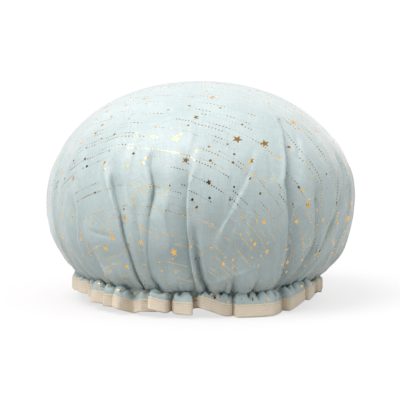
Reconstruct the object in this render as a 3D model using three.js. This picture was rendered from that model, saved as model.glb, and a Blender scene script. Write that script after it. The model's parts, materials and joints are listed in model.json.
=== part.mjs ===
// A lined shower cap of printed cloth, gathered on an elastic above a bound frill.
// Millimetres, +Z up. It stands on its hem at z = 0, below the middle of the crown, and its front faces -Y.
import * as THREE from 'three';

// Crown, as far as it stands out of the neck when it is filled. Levels are built up from the hem.
const crownOverhang = 24; // past the neck's crests, all round
const crownRise = 96; // from the widest level to the top
const crownDrop = 55.4; // from the widest level to the neck's upper stitches
const sideDrop = 22; // how far the sides stay upright below the widest level
const puffReach = 18; // how far the cloth stands out of the neck before it turns up
const puffRise = 15;
const crownSquareness = 2.12; // of the dome's outline: 2 is an ellipse
const foldDepth = 8.5;
const foldReach = 9; // from the bottom of a fold to the cloth beside it

// Neck, where the elastic draws the cloth in.
const neckDiameter = 192; // across the crests of the gathers
const neckPleatDepth = 2;
const neckPleatReach = 5; // from the bottom of a gather to its crest
const elasticWidth = 4;
const elasticThickness = 0.8;
const elasticLap = 14;
const channelPlay = 1.6; // from each edge of the elastic to a row of stitches
const casingMargin = 0.9; // of the casing tape past each row of stitches

// Frill below the neck, and the tape that binds its edge.
const bareFrill = 1.3; // from the casing tape to the binding
const frillFlare = 3.5; // past the neck at the binding's upper edge
const hemFlare = 4.5;
const hemPleatDepth = 5.5;
const hemLift = 1.2; // of the pleats' valleys above the surface that the crests stand on
const bindingHeight = 9.2;

// Cloth, tapes and thread.
const clothThickness = 0.5;
const liningThickness = 0.3;
const casingThickness = 0.4;
const bindingThickness = 0.4;
const threadDiameter = 0.5;
const clearance = 0.3; // between one layer and the next
const edgeMargin = 1; // from the binding's upper edge to its row of stitches
const tackMargin = 1.4; // from the binding's edges to the stitches down its join
const tackStitches = 4;
const zigzagMargin = 2; // from the ends of the elastic's lap to the stitches through it
const zigzagTurns = 6;

// The crown's main folds: degrees round from the front, to the viewer's right, above the widest level, at that level
// and at the neck, and the share of the full depth.
const folds = [
  [-74, -71.5, -66, 0.9], [-61, -59.5, -55, 0.7], [-49, -48, -44, 0.4], [-36, -29.5, -25.6, 1],
  [-17.5, -18.7, -18, 0.8], [-5.6, -5.4, -2.5, 0.8], [15, 15, 14.5, 0.3], [34.5, 34.2, 34.6, 1],
  [66, 60, 46.7, 0.8], [77, 71.5, 54, 0.7], [88, 84, 72, 0.6], [97, 95, 90, 0.7], [112, 110, 108, 0.6],
  [124, 127, 126, 0.9], [142, 144, 144, 0.7], [160, 159, 162, 0.9], [183, 184, 186, 0.8], [205, 203, 206, 0.7],
  [228, 229, 227, 0.9], [251, 250, 248, 0.8], [269, 270, 271, 0.7],
];

// Mesh counts: from one fold to the next the cloth has three columns.
const pleatColumns = 3;
const clothColumns = folds.length * pleatColumns;
const ringColumns = 48;
const topRows = 2;
const domeRows = 5;
const sideRows = [0.45, 0.85];

const backAngle = 180;
const neckRadius = neckDiameter / 2;
const crownRadius = neckRadius + crownOverhang;
const lowerRowLevel = bindingHeight + bareFrill + casingMargin;
const elasticBottom = lowerRowLevel + channelPlay;
const elasticTop = elasticBottom + elasticWidth;
const elasticLevel = (elasticBottom + elasticTop) / 2;
const upperRowLevel = elasticTop + channelPlay;
const widestLevel = upperRowLevel + crownDrop;
const crownTop = widestLevel + crownRise;

const printedCloth = new THREE.MeshStandardMaterial({ color: 0xb9cfce, roughness: 0.55, metalness: 0 });
const liningFilm = new THREE.MeshStandardMaterial({ color: 0xe9eeec, roughness: 0.35, metalness: 0 });
const creamTape = new THREE.MeshStandardMaterial({ color: 0xe2d5bd, roughness: 0.8, metalness: 0 });
const whiteElastic = new THREE.MeshStandardMaterial({ color: 0xf0eee8, roughness: 0.85, metalness: 0 });
const aquaThread = new THREE.MeshStandardMaterial({ color: 0xa9c3c1, roughness: 0.6, metalness: 0 });
const creamThread = new THREE.MeshStandardMaterial({ color: 0xd8c9ad, roughness: 0.6, metalness: 0 });

// A point at a radius, an angle from the front and a level.
function around(radius, degrees, level) {
  const angle = THREE.MathUtils.degToRad(degrees);
  return new THREE.Vector3(radius * Math.sin(angle), -radius * Math.cos(angle), level);
}

// The angle of a fold at a level.
function foldAngle(k, level) {
  const [above, atWidest, atNeck] = folds[k % folds.length];
  const { clamp, lerp, inverseLerp } = THREE.MathUtils;
  const low = lerp(atNeck, atWidest, clamp(inverseLerp(upperRowLevel, widestLevel, level), 0, 1));
  const angle = lerp(low, above, clamp(inverseLerp(widestLevel, widestLevel + crownRise / 3, level), 0, 1));
  return angle + 360 * Math.floor(k / folds.length);
}

// The angle of a column: in a fold, or a reach to either side of it.
function columnAngle(i, radius, reach, level) {
  const k = Math.floor(i / pleatColumns);
  const [start, end] = [foldAngle(k, level), foldAngle(k + 1, level)];
  const beside = Math.min(THREE.MathUtils.radToDeg(reach / radius), (end - start) / 3);
  return [start, start + beside, end - beside][i % pleatColumns];
}

// Each fold is one narrow valley and two crests, so every third column lies in a valley.
const inValley = (i) => i % pleatColumns === 0;

// Rows of points down the outer face of the cloth, from the top of the crown to the hem.
const topRow = (outline) => folds.map((_, k) => around(outline.x, foldAngle(k, outline.y), outline.y));

function crownRow(outline, depthShare) {
  return Array.from({ length: clothColumns }, (_, i) => {
    const fold = inValley(i) ? folds[i / pleatColumns][3] * depthShare * foldDepth : 0;
    return around(outline.x - fold, columnAngle(i, outline.x, foldReach, outline.y), outline.y);
  });
}

function pleatRow(radius, depth, level, lift = 0) {
  return Array.from({ length: clothColumns }, (_, i) => {
    const valley = inValley(i) ? 1 : 0;
    const degrees = columnAngle(i, neckRadius, neckPleatReach, upperRowLevel);
    return around(radius - valley * depth, degrees, level + valley * lift);
  });
}

function clothRows() {
  const made = [[new THREE.Vector3(0, 0, crownTop)]];
  for (let k = 1; k <= domeRows; k++) {
    const angle = (k / domeRows) * (Math.PI / 2);
    const power = 2 / crownSquareness;
    const rise = crownRise * Math.max(Math.cos(angle), 0) ** power;
    const outline = new THREE.Vector2(crownRadius * Math.sin(angle) ** power, widestLevel + rise);
    const depthShare = THREE.MathUtils.smoothstep(k, topRows, domeRows);
    made.push(k > topRows ? crownRow(outline, depthShare) : topRow(outline));
  }
  const side = new THREE.CubicBezierCurve(
    new THREE.Vector2(crownRadius, widestLevel),
    new THREE.Vector2(crownRadius, widestLevel - sideDrop),
    new THREE.Vector2(neckRadius + puffReach, upperRowLevel + puffRise),
    new THREE.Vector2(neckRadius, upperRowLevel),
  );
  const depthAtNeck = neckPleatDepth / foldDepth;
  for (const t of sideRows) {
    made.push(crownRow(side.getPoint(t), THREE.MathUtils.lerp(1, depthAtNeck, t * t)));
  }
  made.push(pleatRow(neckRadius, neckPleatDepth, upperRowLevel));
  made.push(pleatRow(neckRadius, neckPleatDepth, lowerRowLevel));
  made.push(pleatRow(neckRadius + frillFlare, hemPleatDepth, bindingHeight));
  made.push(pleatRow(neckRadius + hemFlare, hemPleatDepth, 0, hemLift));
  return made;
}

// Triangles between a row and the row below it, facing out. A row may have a multiple of the other's points, or be a pole.
function trianglesBetween(upper, upperCount, lower, lowerCount) {
  const triangles = [];
  const steps = Math.max(upperCount, lowerCount);
  const at = (start, count, i) => start + (Math.ceil((i * count) / steps) % count);
  for (let i = 0; i < steps; i++) {
    const [a, aNext] = [at(upper, upperCount, i), at(upper, upperCount, i + 1)];
    const [b, bNext] = [at(lower, lowerCount, i), at(lower, lowerCount, i + 1)];
    if (b !== bNext) triangles.push([a, b, bNext]);
    if (a !== aNext) triangles.push([a, bNext, aNext]);
  }
  return triangles;
}

function indexedGeometry(points, index) {
  const geometry = new THREE.BufferGeometry().setFromPoints(points);
  geometry.setIndex(index);
  geometry.computeVertexNormals();
  return geometry;
}

// A surface through rows of points, back to the first row if closed. Both faces of a wall get the same diagonals,
// so that a thin wall never meets itself.
function geometryThrough(pointRows, closed) {
  const starts = [];
  pointRows.reduce((start, row, k) => {
    starts[k] = start;
    return start + row.length;
  }, 0);
  const index = [];
  const joins = closed ? pointRows.length : pointRows.length - 1;
  for (let k = 0; k < joins; k++) {
    const next = (k + 1) % pointRows.length;
    const rising = pointRows[next][0].z > pointRows[k][0].z;
    const [up, down] = rising ? [next, k] : [k, next];
    const facing = trianglesBetween(starts[up], pointRows[up].length, starts[down], pointRows[down].length);
    facing.forEach(([a, b, c]) => index.push(...(rising ? [a, c, b] : [a, b, c])));
  }
  return indexedGeometry(pointRows.flat(), index);
}

// How each point moves when the cloth's face moves out by 1 mm: along its mean normal, and further at a crease.
function outwardSteps(pointRows) {
  const geometry = geometryThrough(pointRows, false);
  const positions = geometry.getAttribute('position');
  const index = geometry.getIndex().array;
  const faceNormals = pointRows.flat().map(() => []);
  const triangle = new THREE.Triangle();
  for (let i = 0; i < index.length; i += 3) {
    const corners = [index[i], index[i + 1], index[i + 2]];
    triangle.setFromAttributeAndIndices(positions, ...corners);
    const normal = triangle.getNormal(new THREE.Vector3());
    corners.forEach((corner) => faceNormals[corner].push(normal));
  }
  const moves = faceNormals.map((normals) => {
    const mean = normals.reduce((sum, n) => sum.add(n), new THREE.Vector3()).normalize();
    const slope = normals.reduce((sum, n) => sum + n.dot(mean), 0) / normals.length;
    return mean.divideScalar(slope);
  });
  let start = 0;
  return pointRows.map((row) => moves.slice(start, (start += row.length)));
}

const rows = clothRows();
const steps = outwardSteps(rows);
const hemRow = rows.length - 1;
const bindingTopRow = hemRow - 1;
const lowerStitchRow = hemRow - 2;
const upperStitchRow = hemRow - 3;

// Row k of the cloth's outer face, moved out by a distance.
const shifted = (k, distance) => rows[k].map((p, i) => p.clone().addScaledVector(steps[k][i], distance));

// A row at a share of the way from the binding's upper edge to the hem, moved out by a distance.
function bindingRow(share, distance) {
  const top = shifted(bindingTopRow, distance);
  return shifted(hemRow, distance).map((p, i) => top[i].clone().lerp(p, share));
}

// Distances of each layer's faces from the cloth's outer face, inwards being negative.
const clothInside = -clothThickness;
const liningOutside = clothInside - clearance;
const liningInside = liningOutside - liningThickness;
const outerLegOutside = clearance + bindingThickness;
const innerLegOutside = liningInside - clearance;
const innerLegInside = innerLegOutside - bindingThickness;
const threadCentre = clearance + threadDiameter / 2; // above the face that a thread lies on

// Shares of the way down the binding.
const clothEnd = 1 - (bindingThickness + 2 * clearance) / bindingHeight;
const channelEnd = 1 - (bindingThickness + clearance) / bindingHeight;
const stitchShare = edgeMargin / bindingHeight;

// Cloth and lining: a sheet from the crown's top to just inside the binding's fold.
function sheetGeometry(outside, inside) {
  const face = (distance) => [
    ...rows.slice(0, hemRow).map((_, k) => shifted(k, distance)),
    bindingRow(clothEnd, distance),
  ];
  return geometryThrough([...face(outside), ...face(inside).reverse()], false);
}

// Binding: a tape folded over the edge, with a leg on each side of the frill and a flat foot under each crest.
function bindingGeometry() {
  const foot = (distance) => bindingRow(1, distance).map((p, i) => p.setZ(inValley(i) ? hemLift : 0));
  const section = [
    bindingRow(0, outerLegOutside),
    foot(outerLegOutside),
    foot(innerLegInside),
    bindingRow(0, innerLegInside),
    bindingRow(0, innerLegOutside),
    bindingRow(channelEnd, innerLegOutside),
    bindingRow(channelEnd, clearance),
    bindingRow(0, clearance),
  ];
  return geometryThrough(section, true);
}

// A row of stitches: a thread that lies on the cloth all the way round.
function threadRing(centres, outward) {
  const half = threadDiameter / 2;
  const strand = (out, up) =>
    centres.map((p, i) => p.clone().addScaledVector(outward[i], out * half).setZ(p.z + outward[i].z * out * half + up * half));
  return geometryThrough([strand(0, 1), strand(1, 0), strand(0, -1), strand(-1, 0)], true);
}

const clothThread = (k) => threadRing(shifted(k, threadCentre), steps[k].map((s) => s.clone().normalize()));
const bindingThread = (distance) =>
  threadRing(bindingRow(stitchShare, distance), steps[bindingTopRow].map((s) => s.clone().normalize()));

// Elastic and casing are plain rings inside the lining, because only the cloth is gathered.
const neckPoints = [upperStitchRow, lowerStitchRow, bindingTopRow].flatMap((k) => shifted(k, liningInside));
const liningReach = Math.min(...neckPoints.map((p) => Math.hypot(p.x, p.y)));
const elasticOutside = liningReach - clearance;
const elasticInside = elasticOutside - elasticThickness;
const lapInside = elasticInside - clearance - elasticThickness;
const lapHalfAngle = elasticLap / elasticOutside / 2;
const lapFlat = lapInside * Math.cos(lapHalfAngle); // to the middle of the straight lap
const casingOutside = lapFlat - clearance - threadDiameter - clearance;
const casingInside = casingOutside - casingThickness;
const flangeOutside = liningReach - clearance;
const flangeInside = flangeOutside - casingThickness;

const ringRow = (radius, level) =>
  Array.from({ length: ringColumns }, (_, i) => around(radius, backAngle + (360 * i) / ringColumns, level));

// Casing: a tape whose two edges are sewn to the lining, standing in over the elastic between them.
function casingGeometry() {
  const top = upperRowLevel + casingMargin;
  const bottom = lowerRowLevel - casingMargin;
  const turnTop = upperRowLevel - threadCentre;
  const turnBottom = lowerRowLevel + threadCentre;
  const section = [
    ringRow(flangeOutside, top),
    ringRow(flangeOutside, turnTop - casingThickness),
    ringRow(casingOutside, elasticTop),
    ringRow(casingOutside, elasticBottom),
    ringRow(flangeOutside, turnBottom + casingThickness),
    ringRow(flangeOutside, bottom),
    ringRow(flangeInside, bottom),
    ringRow(flangeInside, turnBottom),
    ringRow(casingInside, elasticBottom),
    ringRow(casingInside, elasticTop),
    ringRow(flangeInside, turnTop),
    ringRow(flangeInside, top),
  ];
  return geometryThrough(section, true);
}

function casingThread(level) {
  const centres = ringRow(flangeInside - threadCentre, level);
  return threadRing(centres, ringRow(1, 0));
}

// A strip or thread with two ends, through sections of four corners each.
function openStrip(sections) {
  const index = [];
  for (let k = 0; k + 1 < sections.length; k++) {
    for (let i = 0; i < 4; i++) {
      const [a, b] = [4 * k + i, 4 * k + ((i + 1) % 4)];
      index.push(a, b, b + 4, a, b + 4, a + 4);
    }
  }
  const end = 4 * (sections.length - 1);
  index.push(0, 2, 1, 0, 3, 2, end, end + 1, end + 2, end, end + 2, end + 3);
  return indexedGeometry(sections.flat(), index);
}

// Elastic: one strip bent round until its end lies inside its start.
function elasticGeometry() {
  const lapDegrees = 2 * THREE.MathUtils.radToDeg(lapHalfAngle);
  const turns = Array.from({ length: ringColumns }, (_, i) => (360 * i) / ringColumns);
  const sections = [...turns, 360, 360 + lapDegrees].map((turned) => {
    const inside = turned < 360 ? elasticInside : lapInside;
    const outside = inside + elasticThickness;
    const degrees = backAngle - lapDegrees / 2 + turned;
    return [
      around(outside, degrees, elasticBottom),
      around(inside, degrees, elasticBottom),
      around(inside, degrees, elasticTop),
      around(outside, degrees, elasticTop),
    ];
  });
  return openStrip(sections);
}

// A short thread of square section that keeps to one face, whose normal is given.
function shortThread(path, normal) {
  const half = threadDiameter / 2;
  const sections = path.map((p, k) => {
    const along = path[Math.min(k + 1, path.length - 1)].clone().sub(path[Math.max(k - 1, 0)]);
    const side = new THREE.Vector3().crossVectors(normal, along).normalize();
    const corner = (out, across) => p.clone().addScaledVector(normal, out * half).addScaledVector(side, across * half);
    return [corner(1, 1), corner(1, -1), corner(-1, -1), corner(-1, 1)];
  });
  return openStrip(sections);
}

// Zigzag through the elastic's lapped ends, on the inside of the lap.
function zigzagGeometry() {
  const reach = elasticWidth / 2 - threadDiameter;
  const path = Array.from({ length: zigzagTurns + 1 }, (_, k) => {
    const across = (k / zigzagTurns - 0.5) * (elasticLap - 2 * zigzagMargin);
    return new THREE.Vector3(across, lapFlat - threadCentre, elasticLevel + (k % 2 ? reach : -reach));
  });
  return shortThread(path, new THREE.Vector3(0, -1, 0));
}

// Stitches across the casing's join, down the inside of the channel.
function casingTackGeometry() {
  const reach = elasticWidth / 2 - threadDiameter;
  const facetMiddle = backAngle + 180 / ringColumns;
  const radius = casingInside * Math.cos(Math.PI / ringColumns) - threadCentre;
  const path = [1, 0, -1].map((k) => around(radius, facetMiddle, elasticLevel + k * reach));
  return shortThread(path, around(-1, facetMiddle, 0));
}

// Stitches down the binding's join, on the flat of the pleat beside the middle of the back.
function bindingTackGeometry() {
  const valleys = rows[hemRow].map((_, i) => i).filter(inValley);
  const crest = valleys.filter((i) => foldAngle(i / pleatColumns, 0) <= backAngle).pop() + 1;
  const onFlat = (share, distance) => {
    const row = bindingRow(share, distance);
    return row[crest].clone().lerp(row[crest + 1], 0.5);
  };
  const base = outerLegOutside + threadCentre;
  const reach = 0.5 - tackMargin / bindingHeight;
  const path = Array.from({ length: 2 * tackStitches + 1 }, (_, k) =>
    onFlat(0.5 + (k / tackStitches - 1) * reach, base + (k % 2) * (threadDiameter / 2)),
  );
  const normal = onFlat(0.5, base + 1).sub(onFlat(0.5, base)).normalize();
  return shortThread(path, normal);
}

function named(name, geometry, material) {
  const mesh = new THREE.Mesh(geometry, material);
  mesh.name = name;
  return mesh;
}

const cap = new THREE.Group();
cap.name = 'shower_cap';
cap.add(
  named('outer_cloth', sheetGeometry(0, clothInside), printedCloth),
  named('waterproof_lining', sheetGeometry(liningOutside, liningInside), liningFilm),
  named('elastic_band', elasticGeometry(), whiteElastic),
  named('casing_tape', casingGeometry(), creamTape),
  named('hem_binding', bindingGeometry(), creamTape),
  named('casing_upper_needle_thread', clothThread(upperStitchRow), aquaThread),
  named('casing_lower_needle_thread', clothThread(lowerStitchRow), aquaThread),
  named('casing_upper_bobbin_thread', casingThread(upperRowLevel), creamThread),
  named('casing_lower_bobbin_thread', casingThread(lowerRowLevel), creamThread),
  named('binding_needle_thread', bindingThread(outerLegOutside + threadCentre), creamThread),
  named('binding_bobbin_thread', bindingThread(innerLegInside - threadCentre), creamThread),
  named('elastic_join_zigzag', zigzagGeometry(), creamThread),
  named('casing_join_tack', casingTackGeometry(), creamThread),
  named('binding_join_tack', bindingTackGeometry(), creamThread),
);

export default cap;
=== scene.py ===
import json
import math

import bpy
import numpy as np
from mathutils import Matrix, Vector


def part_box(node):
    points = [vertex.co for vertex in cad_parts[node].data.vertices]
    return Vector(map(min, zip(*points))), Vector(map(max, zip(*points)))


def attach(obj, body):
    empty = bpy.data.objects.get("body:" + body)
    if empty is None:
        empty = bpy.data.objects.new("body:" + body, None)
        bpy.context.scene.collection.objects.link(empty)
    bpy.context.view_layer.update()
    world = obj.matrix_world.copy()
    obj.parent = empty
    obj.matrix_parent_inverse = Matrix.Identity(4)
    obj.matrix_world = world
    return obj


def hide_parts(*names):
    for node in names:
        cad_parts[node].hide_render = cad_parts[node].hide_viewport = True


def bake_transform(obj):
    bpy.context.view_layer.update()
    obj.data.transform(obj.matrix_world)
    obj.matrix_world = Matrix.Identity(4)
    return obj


mm = 0.001
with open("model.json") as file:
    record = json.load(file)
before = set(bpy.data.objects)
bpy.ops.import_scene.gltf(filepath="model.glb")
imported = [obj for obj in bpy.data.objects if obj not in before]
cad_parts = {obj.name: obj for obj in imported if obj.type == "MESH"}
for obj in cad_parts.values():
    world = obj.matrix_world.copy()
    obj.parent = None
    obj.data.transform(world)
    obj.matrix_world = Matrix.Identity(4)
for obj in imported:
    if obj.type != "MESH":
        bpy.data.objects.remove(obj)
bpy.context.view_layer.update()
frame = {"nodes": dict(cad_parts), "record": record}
print("frame:", len(frame["nodes"]), "solids loaded")


# Levels and radii that the solids already fix
def levelOf(node):
    low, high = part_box(node)
    return (low.z + high.z) / 2


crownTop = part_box("outer_cloth")[1].z
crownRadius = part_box("outer_cloth")[1].x
upperRow = levelOf("casing_upper_needle_thread")
lowerRow = levelOf("casing_lower_needle_thread")
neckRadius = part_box("casing_upper_needle_thread")[1].x
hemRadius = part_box("hem_binding")[1].x
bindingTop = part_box("hem_binding")[1].z
casingLow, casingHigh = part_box("casing_tape")
elasticLow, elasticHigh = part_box("elastic_band")


# Grid helpers
def smooth(x, start, end):
    t = np.clip((x - start) / (end - start), 0, 1)
    return t * t * (3 - 2 * t)


def hill(offset, width):
    return np.exp(-(offset / width) ** 2)


def between(x, start, full, ease, end):
    # Rises from 0 to 1, stays there and falls to 0 again.
    return smooth(x, start, full) * (1 - smooth(x, ease, end))


def bezier(points, count):
    a, b, c, d = (np.array(p) for p in points)
    t = np.linspace(0, 1, count + 1)[1:, None]
    return (1 - t) ** 3 * a + 3 * (1 - t) ** 2 * t * b + 3 * (1 - t) * t ** 2 * c + t ** 3 * d


def alongLine(points):
    # Length walked along a line of points, starting from 0.
    steps = np.linalg.norm(np.diff(points, axis=0), axis=1)
    return np.concatenate([[0], np.cumsum(steps)])


def addMesh(name, vertices, faces, loopUv):
    mesh = bpy.data.meshes.new(name)
    mesh.from_pydata(vertices.tolist(), [], faces)
    mesh.uv_layers.new(name="flat").data.foreach_set("uv", loopUv.astype(np.float32).ravel())
    mesh.polygons.foreach_set("use_smooth", np.ones(len(faces), bool))
    mesh.update()
    piece = bpy.data.objects.new(name, mesh)
    bpy.context.scene.collection.objects.link(piece)
    return piece


def ringSurface(name, points, uv, closedSection=False, pole=None):
    # Quads from row to row and column to column of a grid that closes round the axis. The uv grid has one
    # more column, and one more row for a closed section. A pole adds a fan above the first row.
    rows, columns = points.shape[:2]
    lines = rows if closedSection else rows - 1
    r = np.repeat(np.arange(lines), columns)
    c = np.tile(np.arange(columns), lines)
    corners = [(r, c), (r + 1, c), (r + 1, c + 1), (r, c + 1)]
    quads = np.stack([(a % rows) * columns + b % columns for a, b in corners], axis=1)
    loopUv = np.stack([uv[a, b] for a, b in corners], axis=1).reshape(-1, 2)
    faces = quads.tolist()
    vertices = points.reshape(-1, 3)
    if pole is not None:
        i = np.arange(columns)
        fan = np.stack([np.full(columns, len(vertices)), i, (i + 1) % columns], axis=1)
        fanUv = np.stack([np.zeros((columns, 2)), uv[0, i], uv[0, i + 1]], axis=1).reshape(-1, 2)
        faces = faces + fan.tolist()
        loopUv = np.concatenate([loopUv, fanUv])
        vertices = np.concatenate([vertices, [pole]])
    return addMesh(name, vertices, faces, loopUv)


def around(radius, degrees, level):
    # A point at an angle from the front, to the viewer's right.
    a = np.radians(degrees)
    return np.stack(np.broadcast_arrays(radius * np.sin(a), -radius * np.cos(a), level), axis=-1)


def unit(vectors):
    return vectors / np.maximum(np.linalg.norm(vectors, axis=-1, keepdims=True), 1e-12)


def gridNormals(points):
    # Outward normals of a grid whose rows go down and whose columns go round.
    down = np.gradient(points, axis=0)
    across = np.roll(points, -1, axis=1) - np.roll(points, 1, axis=1)
    return unit(np.cross(down, across))


def joined(line):
    # A closed line, with its first point again at the end.
    return np.concatenate([line, line[:1]])


def placesOn(line, walked, places):
    # Points of a line at lengths walked along it.
    return np.stack([np.interp(places, walked, line[:, k]) for k in range(3)], axis=-1)


def turnDegrees(count):
    # Angles spread evenly round the axis, from the back.
    return np.linspace(-180, 180, count, endpoint=False)


def through(x, table):
    # Straight from pair to pair of a table.
    return np.interp(x, *np.array(table, float).T)


# Cloth of the crown, neck and frill, in one piece
cloth = {
    "columns": 720,
    "fine": 3600,  # angles at which the folds are worked out
    "rowsDome": 60,
    "rowsSide": 42,
    "rowsTuck": 9,
    "rowsNeck": 6,
    "rowsFrill": 19,
    "widest": 74 * mm,  # level of the crown's greatest width
    "squareness": 2.12,  # of the dome's outline: 2 is an ellipse
    "wall": 1.5 * mm,  # width of the steep side of a fold that lies over
    "wallTop": 0.5,  # share of the reach added at the fold's top, where its edge is round
    "wallFade": 46,  # height in mm over which the edge gets sharp
    "lean": 0.6,  # sideways step of such a fold's valley for each step of depth
    "rim": 0.13,  # height of the rolled edge beside the wall, for a depth of 1
    "neckDepth": 1.2 * mm,  # that folds keep where the elastic draws the cloth in
    "neckInside": casingHigh.x + 1.3 * mm,  # least radius there, with room for the lining
    "neckBulge": 0.6 * mm,  # of the cloth over the elastic, between the rows of stitches
    "gathers": 150,  # fine ones round the neck
    "gatherDepth": 0.8 * mm,
}
firstTuck = cloth["rowsDome"] + cloth["rowsSide"]
firstNeck = firstTuck + cloth["rowsTuck"]
firstFrill = firstNeck + cloth["rowsNeck"]

# Main folds, downwards: degrees from the front, level, depth and reach in mm. A slit has two like sides.
# Otherwise the side that is named lies over the other, with a steep wall.
frontFolds = [
    ("right", [
        (-78, 126, 0, 8), (-73, 104, 6, 6), (-71, 84, 9, 5), (-70, 62, 10, 5), (-68, 40, 8, 6),
        (-65, 20, 5, 6),
    ]),
    ("right", [(-56, 94, 0, 13), (-54, 74, 4, 13), (-52.5, 45, 6, 11), (-50, 24, 6, 7)]),
    ("slit", [(-47, 60, 0, 9), (-46, 40, 4, 8), (-44, 22, 5, 7)]),
    ("left", [
        (-39, 126, 0, 14), (-36.4, 111, 2.6, 14), (-33.8, 98, 6.4, 13), (-30.2, 79, 4.5, 5),
        (-26.8, 45, 3.6, 2.6), (-25.6, 22, 5, 3),
    ]),
    ("right", [(-25.5, 96, 0, 8), (-24, 80, 2, 7), (-21.5, 49, 2.6, 6), (-21, 28, 2, 5)]),
    ("left", [
        (-20, 136, 0, 12), (-19.3, 117, 3, 13), (-16.9, 100, 6, 13), (-18, 86, 2.4, 12),
        (-18.7, 76, 0.8, 10), (-19.6, 55, 0.9, 10), (-19.8, 33, 2, 9), (-18, 20, 4, 6),
    ]),
    ("right", [
        (-4.2, 134, 0, 8), (-4.9, 116, 2.4, 13), (-5.7, 99, 4.4, 15), (-5.4, 72, 5.6, 16),
        (-4.7, 52, 6, 15), (-3.4, 30, 6, 10), (-2, 18, 5, 6),
    ]),
    ("slit", [(-2.5, 76, 0, 6), (-1.9, 63, 4, 5), (-0.6, 42, 8, 4), (0.6, 31, 9, 4), (3.9, 19, 8, 4)]),
    ("left", [
        (49, 149, 0, 4), (46, 141, 5, 12), (40.4, 128, 9, 18), (33.9, 103, 11, 21), (34.1, 66, 11, 20),
        (34.9, 52, 10, 14), (35.6, 32, 10, 9), (34.6, 18, 8, 6),
    ]),
    ("right", [
        (24, 131, 0, 3), (22.3, 124, 0.6, 10), (18, 108, 1.1, 17), (12.5, 90, 1.3, 19),
        (6.7, 68, 1, 16), (4.5, 57, 0, 10),
    ]),
    ("right", [(52, 140, 0, 7), (49, 132, 2.5, 7), (45, 120, 3, 7), (42, 108, 0, 7)]),
    ("left", [(40, 90, 0, 7), (39.4, 78, 5, 8), (38.8, 50, 8, 7), (38.4, 26, 8, 5)]),
    ("left", [
        (50, 102, 0, 8), (48.2, 84, 5, 9), (47.2, 59, 8, 9), (43, 36, 8.5, 7), (41.5, 22, 6.5, 5),
    ]),
    ("left", [
        (73, 122, 0, 8), (70.4, 102, 5.5, 10), (62.1, 79, 8, 11), (56.3, 66, 9.5, 11),
        (49.7, 44, 10, 9), (46.7, 24, 8, 6),
    ]),
    ("left", [
        (78, 106, 0, 8), (73.4, 84, 6.5, 9), (69, 63, 9, 10), (63, 45, 9.5, 9), (57, 30, 8, 7),
        (54, 18, 6, 5),
    ]),
    ("right", [(67, 92, 0, 7), (62, 76, 3, 7), (55, 56, 4, 6), (48.5, 34, 3, 4)]),
    ("slit", [(-32, 31, 0, 5), (-31, 24, 4, 5), (-31, 18, 5, 4)]),
    ("slit", [(-10, 29, 0, 5), (-9, 23, 4, 5), (-8.5, 18, 5, 4)]),
    ("slit", [(13, 36, 0, 6), (14, 26, 5.5, 5), (14.5, 18, 6, 5)]),
    ("slit", [(25, 28, 0, 5), (25, 22, 2.5, 5), (25, 18, 3, 4)]),
]

# Folds round the back: degrees above the widest level, at it and at the neck, depth and top level in mm.
backFolds = [
    ("left", 88, 84, 72, 7, 120), ("slit", 97, 95, 90, 6.5, 118), ("right", 112, 110, 108, 6, 132),
    ("left", 124, 127, 126, 8.5, 138), ("slit", 142, 144, 144, 6.5, 120), ("right", 160, 159, 162, 8.5, 136),
    ("left", 183, 184, 186, 7.5, 128), ("slit", 205, 203, 206, 7, 118), ("right", 228, 229, 227, 8.5, 138),
    ("left", 251, 250, 248, 7.5, 126), ("right", 269, 270, 271, 7, 122),
]

# Short creases: from and to as degrees and level, height in mm (a dent is negative) and width.
creases = [
    ((26, 41), (6.2, 27), 1.1, 3),
    ((-45.4, 64.5), (-32.6, 61.5), -1.1, 2.2),
    ((-50, 44), (-38, 34), -0.8, 4),
    ((12, 58), (20, 46), -0.6, 5),
    ((-14, 96), (-10, 40), 1.0, 6),
    ((-28, 128), (-27, 92), 0.7, 3),
    ((30, 128), (28, 104), -0.7, 4),
]

# Puckers above the gathers, upright swells of the panels, and finer wrinkles, most of them low down, in mm.
puckers = {
    "count": 84, "jitter": 2.4, "low": 6, "high": 36, "reach": 3, "depth": 6, "share": (0.4, 1),
    "lean": (-3, 3), "seed": 11,
}
waves = {
    "count": 170, "low": 22, "high": 128, "height": 1.0, "tall": (12, 34), "wide": (2, 8),
    "slant": (-0.12, 0.12), "seed": 17,
}
wrinkles = {
    "count": 520, "low": 16, "high": 110, "height": 0.55, "tall": (3, 14), "wide": (0.7, 1.8),
    "slant": 0.35, "spread": 10, "seed": 41,
}

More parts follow.
